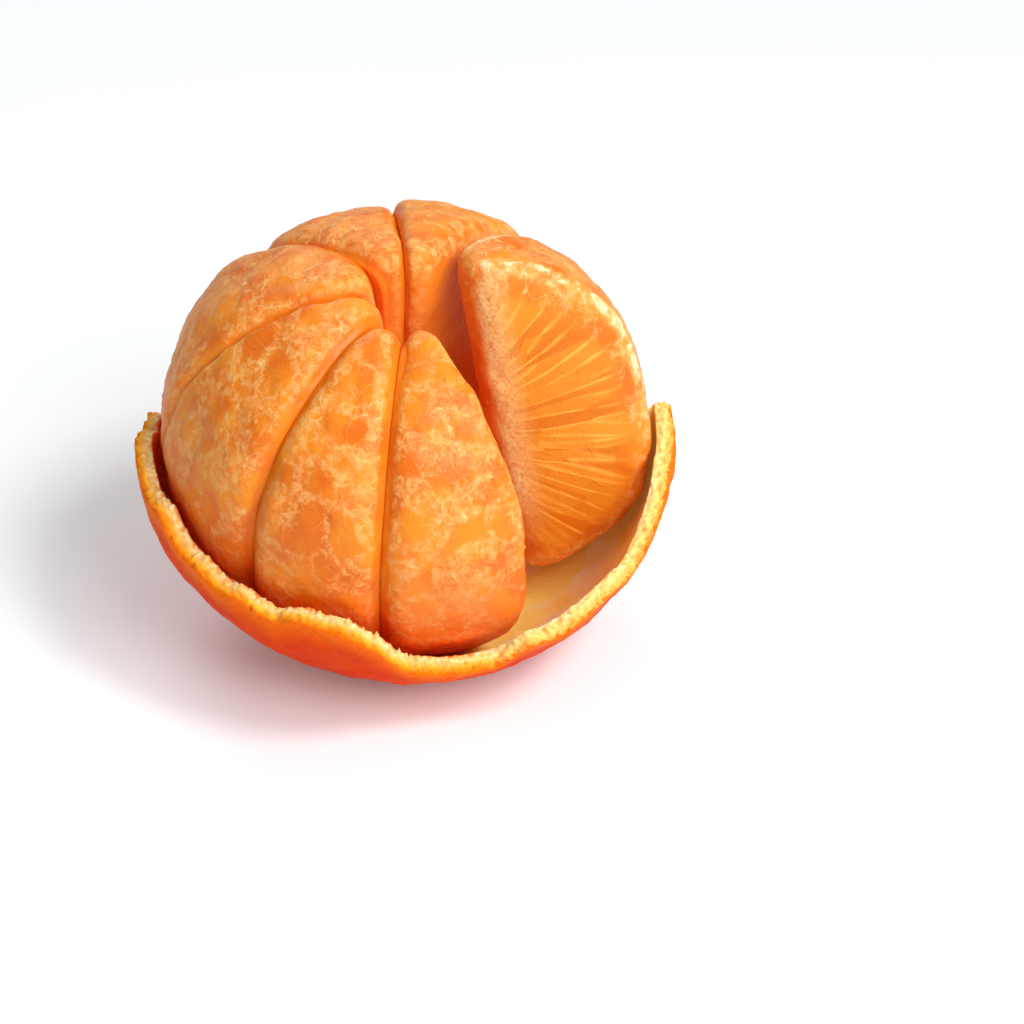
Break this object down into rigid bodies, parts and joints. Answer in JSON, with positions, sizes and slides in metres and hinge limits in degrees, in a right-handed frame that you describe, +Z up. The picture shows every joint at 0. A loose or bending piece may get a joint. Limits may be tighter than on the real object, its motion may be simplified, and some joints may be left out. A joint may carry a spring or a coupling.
{
  "type": "peeled mandarin",
  "caption": "Half-peeled mandarin: plump segments standing in a torn cup of thin peel, with a gap where picked segments were.",
  "frame": {"origin": "centre of the small flat spot under the peel, on the surface that the fruit rests on", "axes": "+Z up, -Y the front, towards which the core leans by 16 degrees, +X to the right seen from the front"},
  "size_m": [0.0631, 0.0621, 0.05],
  "materials": {
    "flesh": "moist translucent orange under a thin skin, with a net of pale threads",
    "rind": "waxy orange with fine pores outside, matt cream inside and on the torn edge"
  },
  "bodies": {
    "root": {"peel": "rind", "front_left_segment": "flesh", "front_right_segment": "flesh", "left_segment": "flesh", "back_left_segment": "flesh", "back_segment": "flesh", "back_right_segment": "flesh", "right_segment": "flesh"}
  },
  "joints": []
}
